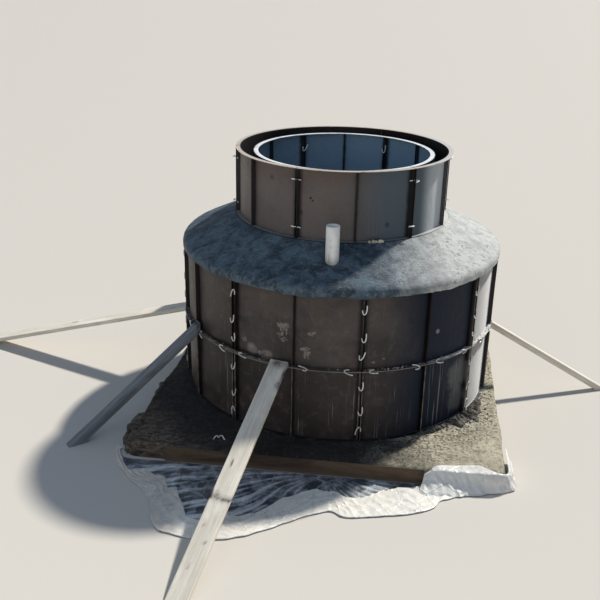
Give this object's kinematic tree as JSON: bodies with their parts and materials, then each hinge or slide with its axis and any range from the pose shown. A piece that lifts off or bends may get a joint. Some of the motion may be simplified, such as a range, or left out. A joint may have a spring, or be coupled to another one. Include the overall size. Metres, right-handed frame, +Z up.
{
  "type": "cast-in-place biogas digester in its steel moulds",
  "caption": "Round concrete digester tank with a shouldered dome and open double-walled neck, in pinned steel moulds, on a square slab with raking timber props and a ground sheet.",
  "frame": {"origin": "centre of the round tank at the underside of the base slab, where it rests on the ground", "axes": "+Z up along the tank's axis, -Y towards the front of the picture, +X to its right"},
  "size_m": [7.005, 5.4861, 2.499],
  "materials": {
    "slab_concrete": "rough cast concrete, stained",
    "tank_concrete": "cast against steel",
    "dome_concrete": "fresh floated concrete, damp",
    "tank_mould_steel": "oiled mill scale with cement splashes",
    "neck_mould_steel": "mill scale with rusty edges",
    "core_mould_steel": "blue-grey mill scale",
    "rusty_steel": "rusted",
    "pale_timber": "weathered, cement-dusted",
    "grey_timber": "weathered grey",
    "pipe_plastic": "dusty white pipe",
    "sheet_plastic": "translucent polythene film"
  },
  "bodies": {
    "root": {"base_slab": "slab_concrete", "slab_edge_form": "rusty_steel", "tank_wall_1": "tank_concrete", "tank_wall_2": "tank_concrete", "tank_wall_3": "tank_concrete", "tank_wall_4": "tank_concrete", "lower_mould_1": "tank_mould_steel", "lower_mould_2": "tank_mould_steel", "lower_mould_3": "tank_mould_steel", "lower_mould_4": "tank_mould_steel", "lower_mould_5": "tank_mould_steel", "lower_mould_6": "tank_mould_steel", "lower_mould_7": "tank_mould_steel", "lower_mould_8": "tank_mould_steel", "upper_mould_1": "tank_mould_steel", "upper_mould_2": "tank_mould_steel", "upper_mould_3": "tank_mould_steel", "upper_mould_4": "tank_mould_steel", "upper_mould_5": "tank_mould_steel", "upper_mould_6": "tank_mould_steel", "upper_mould_7": "tank_mould_steel", "upper_mould_8": "tank_mould_steel", "dome_shoulder": "dome_concrete", "neck_mould_1": "neck_mould_steel", "neck_mould_2": "neck_mould_steel", "neck_mould_3": "neck_mould_steel", "neck_mould_4": "neck_mould_steel", "neck_mould_5": "neck_mould_steel", "neck_mould_6": "neck_mould_steel", "neck_core_1": "core_mould_steel", "neck_core_2": "core_mould_steel", "neck_core_3": "core_mould_steel", "neck_core_4": "core_mould_steel", "neck_core_5": "core_mould_steel", "neck_core_6": "core_mould_steel", "pipe_stub": "pipe_plastic", "front_plank": "pale_timber", "left_square_prop": "grey_timber", "left_plank": "pale_timber", "right_prop": "pale_timber", "ground_sheet": "sheet_plastic"}
  },
  "joints": []
}
